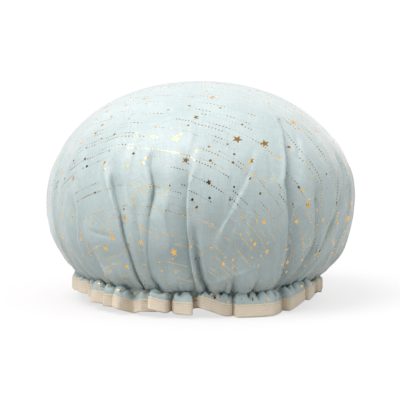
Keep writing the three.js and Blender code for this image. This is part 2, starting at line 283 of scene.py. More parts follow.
# The frill's hem in front and at the sides: place along the cloth and on the ring in degrees, depth of the
# fold and lift in mm. Places along the cloth go up steadily, and on the ring a fold can turn back.
frontHem = [
    (-102, -102, 2, 4), (-98, -97, 8, 5), (-96.4, -97.4, -3, 5), (-91, -91, 2, 6), (-88.6, -88, 8, 7),
    (-87, -87.8, -2, 6.6), (-80, -80, 2, 7.6), (-77.8, -77, 7.5, 8.6), (-76.2, -77, -2, 8.6),
    (-70.6, -70.4, 1, 9.4), (-68.6, -68.2, 7, 9.8), (-67, -67.6, -1, 9.6), (-61.4, -61, 2, 9.6),
    (-59.5, -58.5, 6.5, 9.5), (-57.4, -57.2, 0, 9), (-54.6, -53.6, 7, 8), (-52.8, -52.8, -3, 5.6),
    (-47, -46.3, 2, 5.2), (-45.6, -45.5, 8, 6), (-44.4, -45.3, -3, 4.4), (-39.4, -38.2, 4, 3.6),
    (-38.3, -37.5, 9, 5), (-36.9, -38.6, -5, 5.8), (-34.8, -35.5, -5, 4), (-31.5, -31.5, 5, 0),
    (-26.1, -26.1, -1, 3.2), (-21.6, -20, 4, 2.8), (-19.6, -17, 9, 3.5), (-17.4, -21.8, -6, 7),
    (-13.6, -14.1, -3, 3.2), (-12, -13.5, 10, 3.5), (-10.2, -11, 0, 2.6), (-4.6, -3.1, -4, 2.4),
    (-2.6, -4, 9, 5), (-1, -1.5, 8, 6.5), (0.8, 1, 1, 7), (10.7, 10.7, 0, 0.8), (13.6, 13.8, 1, 0.4),
    (14.8, 14.8, 5, 0.6), (16, 15.6, -4, 0), (26, 26.1, -7, 0), (30.4, 31, -7, 0), (34.6, 37.2, 0, 0),
    (36.4, 35, 11, 2), (38.2, 38.3, 0, 0.2), (39.4, 39.2, 6, 1), (41, 41, -3, 1.4), (50.6, 52, 1, 7),
    (51.8, 51.5, 7, 7.6), (53.6, 53.5, -2, 6.8), (62.4, 63.7, 1, 8.4), (63.8, 63.5, 8, 9),
    (66.6, 67, -2, 10), (71.6, 71.8, 1, 10), (73.4, 73.2, 7, 10.4), (75, 74.4, -2, 10), (81, 81, 2, 9),
    (83, 83.4, 8, 8.6), (84.6, 84, -2, 8),
]
# Round the back a pleat is a valley between two crests, the second of which is a flap that stands out.
backHem = {
    "first": 92, "last": 251, "count": 22, "jitter": 1.8, "seed": 3,
    "half": 1.6,  # degrees from a valley to its crests
    "over": (-2, 2),  # degrees by which a crest leans over the valley
    "crest": (0, 3), "valley": (7, 11), "flap": (-5, 0),  # depths in mm
    "lift": (0.5, 4.5), "valleyLift": 1.5, "flapLift": (-0.5, 1.5),
}
hemTrims = [
    (-180, 0), (-130, 0), (-100, 5), (-75, 5), (-54, 0.5), (50, 0), (62, 4), (80, 9), (105, 9), (140, 0),
    (180, 0),
]  # how far the hem draws in, in mm, by degrees
lobeDroops = [
    (-180, 0), (-90, -1), (-60, -2), (-48, -1.8), (-30, -0.4), (-16, 1.8), (-4, 1), (4, 1.5), (12, 3),
    (26, 3.2), (34, 0.6), (50, -1.4), (70, -2), (90, -1), (180, 0),
]  # how far the crown hangs down over the gathers in mm, by degrees
pleats = {
    "round": 4,  # tenths of a degree over which an edge is rounded
    "flare": 0.3,  # for each step of lift
    "spring": 7.5 * mm,  # of the crests up from the gathers before they fall
    "lean": 1.2 * mm,  # of their tops towards the neck
    "notch": 2,  # that a tuck takes from the spring for each step of its depth
    "sideSpring": 0.45,  # share that is added to the spring at the sides
    "fallen": 8 * mm,  # depth at which a fold has no spring left
}
tucks = {
    "first": -179, "last": 179, "count": 98, "jitter": 1.8, "seed": 29,
    "reach": (0.6, 1.8), "end": (0.6, 1.05), "slant": (-1, 1), "depth": (1.2, 2.7),
}  # reach and slant in degrees, end as a share of the frill's fall, depth in mm
swells = [
    (90, 104, 44, 26, 2.4), (-90, 34, 40, 14, -2.2), (19, 26, 13, 8, 4.2), (19, 47, 15, 12, -3.2),
    (-9, 26, 7, 7, 2.4), (-9, 43, 7, 9, -1.6), (-38, 26, 9, 7, 2.4), (-38, 44, 10, 9, -1.6),
    (48, 46, 9, 12, 2), (6, 62, 8, 20, -2.4),
]  # degrees, level, width, height, and radius to add, in mm


def clothOutline():
    # Radius and level down the middle of the cloth: a dome, a curve in to the neck that tucks under, the
    # straight neck, and the frill that springs out from it and falls to the hem.
    widest = cloth["widest"]
    power = 2 / cloth["squareness"]
    turn = (1 - (1 - np.linspace(0.02, 1, cloth["rowsDome"])) ** 1.2) * math.pi / 2
    rise = crownTop - widest
    dome = np.stack([crownRadius * np.sin(turn) ** power, widest + rise * np.cos(turn) ** power], axis=1)
    lobe = (neckRadius + 4.6 * mm, upperRow + 4.8 * mm)
    pinch = (neckRadius - 1.8 * mm, upperRow + 0.8 * mm)
    gather = (neckRadius + 0.9 * mm, lowerRow)
    hem = (hemRadius + 0.6 * mm, 0.8 * mm)
    t = np.linspace(0, 1, cloth["rowsNeck"] + 1)[1:, None]
    neck = np.array(pinch) * (1 - t) + np.array(gather) * t
    neck[:, 0] += cloth["neckBulge"] * np.sin(math.pi * t[:, 0])
    side = bezier([
        (crownRadius, widest), (crownRadius, widest - 24 * mm),
        (neckRadius + 15 * mm, upperRow + 14 * mm), lobe,
    ], cloth["rowsSide"])
    tuck = bezier([
        lobe, (lobe[0] - 1.8 * mm, lobe[1] - 2.8 * mm), (pinch[0] + 1.2 * mm, pinch[1] - 0.4 * mm), pinch,
    ], cloth["rowsTuck"])
    frill = bezier([
        gather, (gather[0] + 6 * mm, lowerRow - 0.5 * mm), (hem[0] - 0.6 * mm, bindingTop - 1 * mm), hem,
    ], cloth["rowsFrill"])
    return np.concatenate([dome, side, tuck, neck, frill])


def spread(settings):
    # Angles shared out evenly and then shifted a little by a seeded draw.
    draw = np.random.default_rng(settings["seed"])
    even = np.linspace(settings["first"], settings["last"], settings["count"])
    return even + draw.uniform(-1, 1, settings["count"]) * settings["jitter"], draw


def valley(offset, left, right, power):
    # A sharp valley: 1 at offset 0, falling to 0 at the reach on either side, level there.
    share = np.where(offset < 0, -offset / left, offset / right)
    return np.clip(1 - share, 0, 1) ** power


def apart(degrees, centre):
    # Signed turn from a centre, the short way round.
    return (degrees - centre + 180) % 360 - 180


def foldList():
    folds = list(frontFolds)
    for kind, above, middle, low, deep, top in backFolds:
        folds.append((kind, [
            (above, top, 0, 14), (0.7 * above + 0.3 * middle, top - 24, 0.8 * deep, 14),
            (middle, 70, deep, 12), (0.4 * middle + 0.6 * low, 40, 0.9 * deep, 9), (low, 20, 0.8 * deep, 5),
        ]))
    return folds


def eased(x, knots, values):
    # Through the values at falling knots, level at each of them.
    knots, values = np.array(knots, float), np.array(values, float)
    k = np.clip(np.searchsorted(-knots, -x) - 1, 0, len(knots) - 2)
    t = np.clip((knots[k] - x) / (knots[k] - knots[k + 1]), 0, 1)
    return values[k] + (values[k + 1] - values[k]) * t * t * (3 - 2 * t)


def mainFolds(degrees, arc, level):
    # Depth and sideways step of all folds of the crown. Where two cross, the deeper one stays.
    depth = np.zeros((len(level), degrees.shape[1]))
    shift = np.zeros_like(depth)
    rim = np.zeros_like(depth)
    for kind, path in foldList():
        angles, levels, depths, reaches = np.array(path, float).T
        centre = np.interp(-level, -levels * mm, angles)
        deep = eased(level, levels * mm, depths * mm)
        reach = np.interp(-level, -levels * mm, reaches * mm)
        offset = apart(degrees, centre) * arc
        fade = smooth(level / mm, levels[0] - cloth["wallFade"], levels[0])
        wall = cloth["wall"] + cloth["wallTop"] * reaches[0] * mm * fade
        left = wall if kind == "left" else reach
        right = wall if kind == "right" else reach
        here = deep * valley(offset, left, right, 1.6)
        side = {"left": -1, "right": 1, "slit": 0}[kind]
        depth = np.maximum(depth, here)
        shift = shift + side * cloth["lean"] * here
        edge = hill(offset - side * (wall + 1.7 * mm), 2.2 * mm)
        rim = np.maximum(rim, abs(side) * cloth["rim"] * deep * edge)
    return depth - rim, shift


def smallFolds(degrees, arc, level):
    # Depth of the puckers, waves, wrinkles and short creases together.
    draw = np.random.default_rng(puckers["seed"])
    depth = np.zeros((len(level), degrees.shape[1]))
    even = np.arange(puckers["count"]) * 360 / puckers["count"]
    for angle in even + draw.uniform(-1, 1, puckers["count"]) * puckers["jitter"]:
        height = draw.uniform(puckers["low"], puckers["high"]) * mm
        strength = smooth(upperRow + height - level, 0, height) ** 1.5 * draw.uniform(*puckers["share"])
        lined = angle + draw.uniform(*puckers["lean"]) * smooth(level, upperRow, upperRow + height)
        reach = puckers["reach"] * mm + 0.12 * height
        here = puckers["depth"] * mm * strength * valley(apart(degrees, lined) * arc, reach, reach, 1.6)
        depth = np.maximum(depth, here)
    draw = np.random.default_rng(waves["seed"])
    for k in range(waves["count"]):
        middle = waves["low"] + (waves["high"] - waves["low"]) * draw.uniform() ** 1.6
        tall = draw.uniform(*waves["tall"])
        wide = draw.uniform(*waves["wide"]) * mm
        slant = draw.uniform(*waves["slant"])
        angle = draw.uniform(-180, 180) + slant * (level / mm - middle)
        high = waves["height"] * mm * draw.uniform(-1, 1)
        depth = depth + high * hill(level / mm - middle, tall) * hill(apart(degrees, angle) * arc, wide)
    draw = np.random.default_rng(wrinkles["seed"])
    perDegree = degrees.shape[1] / 360
    span = np.arange(-int(wrinkles["spread"] * perDegree), int(wrinkles["spread"] * perDegree) + 1)
    for k in range(wrinkles["count"]):
        middle = wrinkles["low"] + (wrinkles["high"] - wrinkles["low"]) * draw.uniform() ** 2.2
        tall = draw.uniform(*wrinkles["tall"])
        wide = draw.uniform(*wrinkles["wide"])
        slant = draw.normal() * wrinkles["slant"]
        angle = draw.uniform(-180, 180)
        high = wrinkles["height"] * draw.uniform(-1, 1)
        near = np.nonzero(np.abs(level[:, 0] / mm - middle) < 2.2 * tall)[0]
        columns = (int((angle + 180) * perDegree) + span) % degrees.shape[1]
        offset = span[None] / perDegree * arc[near] / mm - slant * (level[near] / mm - middle)
        window = hill(level[near] / mm - middle, tall)
        depth[np.ix_(near, columns)] += high * mm * window * hill(offset, wide)
    for (startAngle, startLevel), (endAngle, endLevel), high, wide in creases:
        run = (endAngle - startAngle) * crownRadius * math.pi / 180
        along = np.array([run, (endLevel - startLevel) * mm])
        fromStart = apart(degrees, startAngle) * arc, level - startLevel * mm
        t = np.clip((fromStart[0] * along[0] + fromStart[1] * along[1]) / (along @ along), 0, 1)
        away = np.hypot(fromStart[0] - t * along[0], fromStart[1] - t * along[1])
        here = high * mm * np.clip(1 - away / (wide * mm), 0, 1) ** 1.5
        depth = depth - here * np.sqrt(4 * t * (1 - t) + 0.02)
    return depth


def hemLine():
    # Places along the hem with their turn, depth and lift, in order.
    angles, draw = spread(backHem)
    half = backHem["half"]
    rows = list(frontHem)
    for angle in angles:
        lift = draw.uniform(*backHem["lift"])
        over = draw.uniform(*backHem["over"])
        crest = draw.uniform(*backHem["crest"])
        valleyDepth = draw.uniform(*backHem["valley"])
        flap = draw.uniform(*backHem["flap"])
        rows.append((angle - half, angle - half / 2 + max(over, 0), crest, lift))
        rows.append((angle, angle + over / 2, valleyDepth, lift + backHem["valleyLift"]))
        flapLift = lift + draw.uniform(*backHem["flapLift"])
        rows.append((angle + half, angle + half / 2 + min(over, 0), flap, flapLift))
    rows = np.array(rows)
    rows[:, :2] = apart(rows[:, :2], 0)
    return rows[np.argsort(rows[:, 0])].T


def frillPleats(degrees):
    # Depth, sideways step and lift of the pleats at the hem: straight facets from place to place, with round
    # edges.
    places, turns, deeps, lifts = hemLine()
    deeps = deeps + through(places, hemTrims)
    shifts = apart(turns, places) * hemRadius * math.pi / 180
    edge = range(-pleats["round"], pleats["round"] + 1)
    facets = [np.interp(degrees[0], places, row, period=360) for row in (deeps * mm, shifts, lifts * mm)]
    return [sum(np.roll(row, k) for k in edge) / len(edge) for row in facets]


def frillTucks(degrees, fall):
    # Sharp small valleys that start at the gathers and run out at different heights. The fall is 0 at the
    # frill's top and 1 at the binding.
    angles, draw = spread(tucks)
    depth = np.zeros((len(fall), degrees.shape[1]))
    for angle in angles:
        reach, end, slant, deep = (draw.uniform(*tucks[key]) for key in ("reach", "end", "slant", "depth"))
        here = deep * mm * np.clip(1 - fall / end, 0, 1) ** 0.6
        depth = np.maximum(depth, here * valley(apart(degrees, angle + slant * fall), reach, reach, 1.4))
    return depth


def anchors(lines, level):
    # Angles that columns keep to at each level, in their order low on the crown, never closer than the gap.
    angles = np.array([np.interp(-level, -levels, degrees) for degrees, levels in lines]).T
    order = np.argsort(angles[np.argmin(np.abs(level - 50 * mm))])
    gap = 1.5
    angles = angles[:, order] - gap * np.arange(len(order))
    return np.maximum.accumulate(angles, axis=1) + gap * np.arange(len(order))


def clothSurface():
    # The outline carried round the axis. Valleys take radius away, and a fold that lies over shifts its
    # valley sideways. Columns keep to the folds, and stand evenly along each row's length between them.
    outline = clothOutline()
    rows = len(outline)
    index = np.arange(rows)[:, None]
    radius = outline[:, :1]
    level = outline[:, 1:]
    degrees = turnDegrees(cloth["fine"])[None, :]
    arc = radius * math.pi / 180  # length of one degree
    tight = smooth(index, firstTuck + 2, firstNeck - 1)
    onFrill = smooth(index, firstNeck - 3, firstFrill + 3)
    lifted = smooth(index, firstNeck, firstFrill + 13)
    loose = smooth(index, firstFrill - 1, firstFrill + 6)

    depth, shift = mainFolds(degrees, arc, level)
    depth = depth + smallFolds(degrees, arc, level) * np.exp(-np.maximum(depth, 0) / (3 * mm))
    held = cloth["neckDepth"] * np.tanh(depth / cloth["neckDepth"])
    depth = depth * (1 - tight) + held * tight
    shift = shift * (1 - 0.8 * tight)
    for angle, middle, wide, tall, more in swells:
        window = hill(level / mm - middle, tall) * hill(apart(degrees, angle), wide)
        depth = depth - more * mm * window * (1 - tight)

    pleatDepth, pleatShift, lift = frillPleats(degrees)
    room = radius - cloth["neckInside"] + 20 * mm * smooth(-level, -10.2 * mm, -7 * mm)
    flared = np.clip((index - firstFrill) / (rows - 1 - firstFrill), 0, 1)
    inward = room * np.tanh(np.maximum(pleatDepth, 0) * onFrill / room)
    outward = np.minimum(pleatDepth, 0) * flared
    depth = depth * (1 - onFrill) + inward + outward - pleats["flare"] * lift * lifted
    fall = np.clip((index - firstFrill - 3) / 9, 0, 1)
    tuck = frillTucks(degrees, fall) * smooth(index, firstFrill - 2, firstFrill + 2)
    depth = depth + tuck + pleats["lean"] * smooth(index, firstFrill, firstFrill + 2) * (1 - fall) ** 2
    shift = shift * (1 - onFrill) + pleatShift * loose
    turn = np.radians(degrees)
    wander = 2.2 * np.sin(5 * turn) + 1.6 * np.sin(11 * turn + 1) + 1.1 * np.sin(23 * turn + 2)
    ruched = between(index, firstTuck, firstNeck, firstFrill - 1, firstFrill + 4)
    depth = depth - cloth["gatherDepth"] * ruched * np.sin(cloth["gathers"] * turn + wander)
    lobe = between(index, firstTuck - 16, firstTuck, firstTuck, firstNeck)
    full = 1 - np.clip(depth[firstTuck - 3] / (3 * mm), 0, 1)
    droop = through(degrees[0], lobeDroops) * mm
    crest = 1 - np.clip(pleatDepth / pleats["fallen"], 0, 1)
    spring = smooth(index, firstFrill - 1, firstFrill + 3)
    spring = spring * np.clip((rows - 1 - index) / (rows - firstFrill - 4), 0, 1)
    height = level - lobe * (droop * full)[None, :] + lifted * lift
    high = pleats["spring"] * (1 + pleats["sideSpring"] * np.sin(turn) ** 2) - pleats["notch"] * tuck
    height = height + high * spring * crest
    dense = around(radius - depth, degrees + shift / arc, height)

    closed = np.concatenate([dense, dense[:, :1]], axis=1)
    steps = np.linalg.norm(np.diff(closed, axis=1), axis=2)
    walked = np.concatenate([np.zeros((rows, 1)), np.cumsum(steps, axis=1)], axis=1)
    lines = []
    for kind, path in foldList():
        turns, levels = np.array(path, float).T[:2]
        turns, levels = apart(turns, 0), levels * mm
        if np.ptp(turns) < 180 and levels[0] > 55 * mm > levels[-1]:
            lines.append((turns, levels))
    crownAnchors = anchors(lines, outline[:, 1])
    frillAnchors = np.repeat(hemLine()[0][None], rows, axis=0)
    points = np.empty((rows, cloth["columns"], 3))
    for places, used, shown in [(crownAnchors, slice(8, firstTuck), slice(0, firstFrill)),
                                (frillAnchors, slice(-6, None), slice(firstFrill, rows))]:
        at = np.clip((places + 180) / 360, 0.002, 0.998) * degrees.shape[1]
        met = np.stack([np.interp(at[k], np.arange(walked.shape[1]), walked[k]) for k in range(rows)])
        share = np.mean(met[used] / walked[used, -1:], axis=0)
        knots = np.concatenate([[0], share, [1]]) * cloth["columns"]
        for k in range(rows)[shown]:
            stops = np.concatenate([[0], met[k], [walked[k, -1]]])
            wanted = np.interp(np.arange(cloth["columns"]), knots, stops)
            points[k] = placesOn(closed[k], walked[k], wanted)
    return points


points = clothSurface()
rowCount = len(points)
middleRadius = np.hypot(points[..., 0], points[..., 1]).mean(axis=1)
middleLine = np.stack([middleRadius, points[..., 2].mean(axis=1)], axis=1)
reach = alongLine(np.concatenate([[[0, crownTop]], middleLine]))[1:]  # from the pole, over the cloth
turn = np.linspace(0, 2 * math.pi, cloth["columns"] + 1)
flatUv = reach[:, None, None] * np.stack([np.sin(turn), -np.cos(turn)], axis=1)[None, :, :]
outerCloth = ringSurface("printed_cloth_cap", points, flatUv, pole=(0, 0, crownTop))
print("cloth:", rowCount, "rows, flat radius", round(reach[-1], 4))


# Pieces that follow the cloth
clothNormals = gridNormals(points)


def calmer(normals, width):
    # Averaged with their neighbours along each row, so that an offset doesn't cross itself in a valley.
    return unit(sum(np.roll(normals, k, axis=-2) for k in range(-width, width + 1)))


def sectionUv(section, line):
    # Metres along a closed line and across the section, one row and one column past the end.
    u, v = np.meshgrid(alongLine(joined(line)), alongLine(joined(section)))
    return np.stack([u, v], axis=-1)


climb = np.cumsum(np.linalg.norm(np.diff(points[:-cloth["rowsFrill"]:-1], axis=0), axis=2), axis=0)


def frillAt(up, out):
    # Points at a distance up from the hem, measured along each column of the frill, and out from the cloth.
    row = np.clip((climb <= up).sum(axis=0), 0, len(climb) - 1)
    column = np.arange(cloth["columns"])
    below = np.where(row > 0, climb[row - 1, column], 0)
    t = ((up - below) / (climb[row, column] - below))[:, None]
    line = points[rowCount - 1 - row, column] * (1 - t) + points[rowCount - 2 - row, column] * t
    return line + out * calmer(clothNormals[rowCount - 2 - row, column], 3)


binding = {
    "height": 9.2 * mm,
    "thickness": 0.42 * mm,
    "outside": 0.2 * mm,  # gap to the cloth's face
    "inside": 0.75 * mm,  # from the cloth's face to the inner leg
    "ribs": 5,
    "ribDepth": 0.07 * mm,
}
outerFace = binding["outside"] + binding["thickness"]
innerFace = -binding["inside"] - binding["thickness"]


def bindingSection():
    # Places up the frill and out from it, round a tape folded over the hem: the outer leg with its ribs, the
    # fold below the cloth, the inner leg, and back along the inside of the fold.
    high = binding["height"]
    thick = binding["thickness"]
    outside = binding["outside"]
    up = np.linspace(high, 0.3 * mm, 4 * binding["ribs"] + 1)
    rib = binding["ribDepth"] * np.cos(up / high * binding["ribs"] * 2 * math.pi)
    outer = np.stack([up, outerFace + rib], axis=1)
    turn = np.linspace(0, math.pi, 7)[1:-1]
    middle = (outerFace + innerFace) / 2
    out = middle + (outerFace - middle) * np.cos(turn)
    fold = np.stack([0.3 * mm - 0.75 * mm * np.sin(turn), out], axis=1)
    inner = np.stack([np.linspace(0.3 * mm, high - 0.4 * mm, 9), np.full(9, innerFace)], axis=1)
    inside = innerFace + thick
    back = np.array([
        (high - 0.2 * mm, innerFace + thick / 2), (high - 0.4 * mm, inside), (0.6 * mm, inside),
        (0.25 * mm, middle), (0.6 * mm, outside), (high, outside), (high + 0.15 * mm, outside + thick / 2),
    ])
    return np.concatenate([outer, fold, inner, back])


def buildBinding():
    section = bindingSection()
    grid = np.stack([frillAt(up, out) for up, out in section])
    uv = sectionUv(section, frillAt(binding["height"] / 2, 0))
    return ringSurface("frill_binding", grid, uv, closedSection=True)


lining = {"inset": 0.7 * mm, "frillInset": 0.18 * mm, "stopsAbove": 1.2 * mm}


def buildLining():
    # Every second row of the crown and every row of the frill, moved in by the inset, to just above the
    # binding's fold.
    rows = np.append(np.arange(0, firstTuck, 2), np.arange(firstTuck, rowCount - 2))
    near = between(rows, firstFrill - 3, firstFrill, firstFrill + 7, firstFrill + 10)
    inset = lining["inset"] + (lining["frillInset"] - lining["inset"]) * near
    grid = points[rows] - inset[:, None, None] * calmer(clothNormals[rows], 2)
    return ringSurface("inner_lining", grid, flatUv[rows], pole=(0, 0, crownTop - lining["inset"]))


casing = {
    "columns": 480,
    "thickness": 0.35 * mm,
    "drop": 3.2 * mm,  # of its middle in from its edges
    "ripple": 0.2 * mm,
    "ripples": 96,
    "seed": 21,
}


def casingSection():
    # Radius and level round a tape whose edges lie on the lining, with its middle in over the elastic.
    flange = casingHigh.x
    inner = flange - casing["drop"]
    thick = casing["thickness"]
    ring = [
        (flange, casingHigh.z), (flange, upperRow - 0.4 * mm), (flange - 0.9 * mm, upperRow - 0.9 * mm),
        (inner + 0.5 * mm, elasticHigh.z + 0.2 * mm), (inner, elasticHigh.z - 1 * mm),
        (inner, elasticLow.z + 1 * mm), (inner + 0.5 * mm, elasticLow.z - 0.2 * mm),
        (flange - 0.9 * mm, lowerRow + 0.9 * mm), (flange, lowerRow + 0.4 * mm), (flange, casingLow.z),
    ]
    face = np.array(ring)
    return np.concatenate([face, face[::-1] - np.array([thick, 0])])


def ripples(settings, degrees):
    # Small irregular gathers round a ring: a wave whose length and height wander.
    draw = np.random.default_rng(settings["seed"])
    turn = np.radians(degrees)
    wander = sum(draw.uniform(-1, 1) * np.sin(k * turn + draw.uniform(0, 2 * math.pi)) for k in range(1, 9))
    high = 0.7 + 0.3 * np.sin(7 * turn + 1) * np.sin(3 * turn)
    return high * np.sin(settings["ripples"] * turn + 1.6 * wander)


def buildCasing():
    section = casingSection()[::-1]
    degrees = turnDegrees(casing["columns"])
    wave = casing["ripple"] * ripples(casing, degrees)
    grid = np.stack([around(r + wave, degrees, z) for r, z in section])
    uv = sectionUv(section, around(casingHigh.x, degrees, casingHigh.z))
    return ringSurface("elastic_casing", grid, uv, closedSection=True)


def tubeMesh(name, rings, along, girth):
    # Rings of points joined into tubes with closed ends, one for each path. The map has the length along the
    # path and round the section.
    count, steps, sides = rings.shape[:3]
    n, s, c = np.meshgrid(np.arange(count), np.arange(steps - 1), np.arange(sides), indexing="ij")
    corners = [(s, c), (s, c + 1), (s + 1, c + 1), (s + 1, c)]
    quads = np.stack([(n * steps + a) * sides + b % sides for a, b in corners], axis=-1).reshape(-1, 4)
    quadUv = np.stack([np.stack([along[a], b / sides * girth], axis=-1) for a, b in corners], axis=-2)
    start = np.arange(count)[:, None] * steps * sides
    ends = np.concatenate([start + np.arange(sides)[::-1], start + (steps - 1) * sides + np.arange(sides)])
    loopUv = np.concatenate([quadUv.reshape(-1, 2), np.zeros((ends.size, 2))])
    return addMesh(name, rings.reshape(-1, 3), quads.tolist() + ends.tolist(), loopUv)


thread = {
    "radius": 0.2 * mm,
    "sides": 6,
    "stitch": 2.5 * mm,
    "gap": 0.35 * mm,
    "sink": 0.25 * mm,  # of a stitch's ends into the cloth
    "rise": 0.6,  # of its middle, for a radius of 1
    "steps": 6,
    "joinSteps": 60,
    "joinCorners": 9,
}


def tube(name, paths, ups):
    # Round threads along open paths, all in one mesh: rings square to each path, thinner at the ends.
    along = unit(np.gradient(paths, axis=1))
    side = unit(np.cross(along, ups))
    up = np.cross(side, along)
    steps = paths.shape[1]
    t = np.linspace(0, 1, steps)
    swell = np.minimum(1, np.sqrt(np.maximum(0.12, 1 - (2 * t - 1) ** 6)))
    turn = np.arange(thread["sides"]) / thread["sides"] * 2 * math.pi
    offset = side[:, :, None] * np.cos(turn)[:, None] + up[:, :, None] * np.sin(turn)[:, None]
    rings = paths[:, :, None] + thread["radius"] * swell[None, :, None, None] * offset
    length = np.linalg.norm(np.diff(paths, axis=1), axis=2).sum(axis=1).max()
    return tubeMesh(name, rings, np.arange(steps) / steps * length, 6 * thread["radius"])


def stitches(name, line, normals):
    # Stitches of one length laid end to end round a closed line, each with its ends sunk in.
    walked = alongLine(joined(line))
    pitch = thread["stitch"] + thread["gap"]
    count = int(walked[-1] / pitch)
    share = np.linspace(0, 1, thread["steps"])
    places = (np.arange(count)[:, None] + share * thread["stitch"] / pitch) * (walked[-1] / count)
    path = placesOn(joined(line), walked, places)
    up = placesOn(joined(normals), walked, places)
    lift = thread["radius"] * thread["rise"] - thread["sink"] * (2 * share - 1) ** 4
    return tube(name, path + up * lift[None, :, None], up)


def clothStitches(name, row):
    return stitches(name, points[row], calmer(clothNormals[row], 3))


def bindingStitches(name, drop, out, facing):
    # A row that lies below the binding's upper edge.
    line = frillAt(binding["height"] - drop, out)
    return stitches(name, line, facing * calmer(clothNormals[-6], 3))


def casingStitches(name, level):
    degrees = turnDegrees(casing["columns"])
    radius = casingHigh.x - casing["thickness"] + casing["ripple"] * ripples(casing, degrees)
    return stitches(name, around(radius, degrees, level), -around(1, degrees, 0))


elastic = {"width": 4 * mm, "thickness": 0.8 * mm, "lap": 14 * mm, "step": 1.1 * mm, "columns": 360}


def buildElastic():
    # One strip bent round until its end lies inside its start: a rounded section along a ring that steps in.
    outside = elasticHigh.x - 0.1 * mm
    lapDegrees = math.degrees(elastic["lap"] / outside)
    turned = np.linspace(0, 360 + lapDegrees, elastic["columns"])
    inward = elastic["step"] * smooth(turned, 345 - lapDegrees, 358)
    middle = outside - elastic["thickness"] / 2 - inward
    centre = levelOf("elastic_band")
    corner = np.linspace(0, 2 * math.pi, 16, endpoint=False)
    across = elastic["width"] / 2 * np.sign(np.cos(corner)) * np.abs(np.cos(corner)) ** 0.35
    out = elastic["thickness"] / 2 * np.sign(np.sin(corner)) * np.abs(np.sin(corner)) ** 0.6
    degrees = 180 - lapDegrees / 2 + turned
    rings = np.stack([around(middle + o, degrees, centre + a) for a, o in zip(across, out)], axis=1)
    return tubeMesh("elastic_strip", rings[None], np.radians(turned) * outside, 2 * elastic["width"])


def joinThread(name, corners, facing):
    # Thread along straight runs from corner to corner.
    corners = np.asarray(corners, float)
    walked = alongLine(corners)
    path = placesOn(corners, walked, np.linspace(0, walked[-1], thread["joinSteps"]))[None]
    return tube(name, path, np.broadcast_to(facing, path.shape))


everySecond = np.arange(thread["joinCorners"]) % 2


def buildZigzag():
    low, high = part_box("elastic_join_zigzag")
    x = np.linspace(low.x, high.x, thread["joinCorners"])
    z = np.where(everySecond, high.z, low.z)
    corners = np.stack(np.broadcast_arrays(x, (low.y + high.y) / 2, z), axis=1)
    return joinThread("elastic_zigzag", corners, (0, -1, 0))


def buildCasingTack():
    low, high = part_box("casing_join_tack")
    z = np.linspace(high.z, low.z, thread["joinCorners"])
    x = (low.x + high.x) / 2 + np.where(everySecond, 0.5, -0.5) * mm
    corners = np.stack(np.broadcast_arrays(x, low.y, z), axis=1)
    return joinThread("casing_tack", corners, (0, -1, 0))


def buildBindingTack():
    # Across the binding's outer leg at the column nearest the solid's own tack.
    low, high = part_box("binding_join_tack")
    line = frillAt(binding["height"] / 2, 0)
    near = np.argmin(np.hypot(line[:, 0] - (low.x + high.x) / 2, line[:, 1] - high.y))
    ups = np.linspace(binding["height"] - 1 * mm, 1 * mm, thread["joinCorners"])
    face = outerFace + thread["radius"] * thread["rise"]
    corners = [frillAt(up, face)[near + step] for up, step in zip(ups, everySecond)]
    return joinThread("binding_tack", corners, clothNormals[-6, near])


# Shader maths on sockets
def operator(operation):
    return lambda shade, other: shade.math(operation, other)


class Shade:
    def __init__(self, tree, socket=None):
        self.tree = tree
        self.socket = socket

    def node(self, kind, settings=None, values=None, out=0):
        # A node of a type, with its settings made first and then its sockets set or linked.
        made = self.tree.nodes.new(kind)
        for key, value in (settings or {}).items():
            setattr(made, key, value)
        for key, value in (values or {}).items():
            if isinstance(value, Shade):
                self.tree.links.new(value.socket, made.inputs[key])
            else:
                made.inputs[key].default_value = value
        return Shade(self.tree, made.outputs[out])

    def math(self, operation, *others):
        return self.node("ShaderNodeMath", {"operation": operation}, dict(enumerate([self, *others])))

    __add__ = operator("ADD")
    __radd__ = __add__
    __sub__ = operator("SUBTRACT")
    __mul__ = operator("MULTIPLY")
    __rmul__ = __mul__
    __truediv__ = operator("DIVIDE")
    __lt__ = operator("LESS_THAN")
    __gt__ = operator("GREATER_THAN")

    def __rsub__(self, other):
        return self.node("ShaderNodeMath", {"operation": "SUBTRACT"}, {0: other, 1: self})

    def vector(self, operation, other, out=0):
        return self.node("ShaderNodeVectorMath", {"operation": operation}, {0: self, 1: other}, out)

    def mixed(self, low, high):
        # From one colour to the other as this value goes from 0 to 1.
        return self.node("ShaderNodeMix", {"data_type": "RGBA"}, {0: self, 6: low, 7: high}, 2)

    def part(self, k):
        # One of the three numbers of a vector.
        return self.node("ShaderNodeSeparateXYZ", None, {0: self}, k)

    def mapped(self, change, value):
        # A place that is turned or scaled.
        return self.node("ShaderNodeMapping", {"vector_type": "POINT"}, {"Vector": self, change: value})

    def noise(self, scale, detail, distortion=0):
        values = {"Vector": self, "Scale": scale, "Detail": detail, "Distortion": distortion}
        return self.node("ShaderNodeTexNoise", {"noise_dimensions": "2D"}, values)

    def cells(self, size, randomness, out):
        values = {"Vector": self, "Scale": 1 / size, "Randomness": randomness}
        return self.node("ShaderNodeTexVoronoi", {"voronoi_dimensions": "2D", "feature": "F1"}, values, out)

    def stripes(self, width):
        # From 0 to 1 and back over each width.
        return (self * (2 * math.pi / width)).math("SINE") * 0.5 + 0.5

    def ramp(self, start, end, low, high):
        values = {0: self, 1: start, 2: end, 3: low, 4: high}
        return self.node("ShaderNodeMapRange", {"interpolation_type": "SMOOTHSTEP"}, values)

    def ray(self, kind):
        return self.node("ShaderNodeLightPath", None, None, f"Is {kind} Ray")


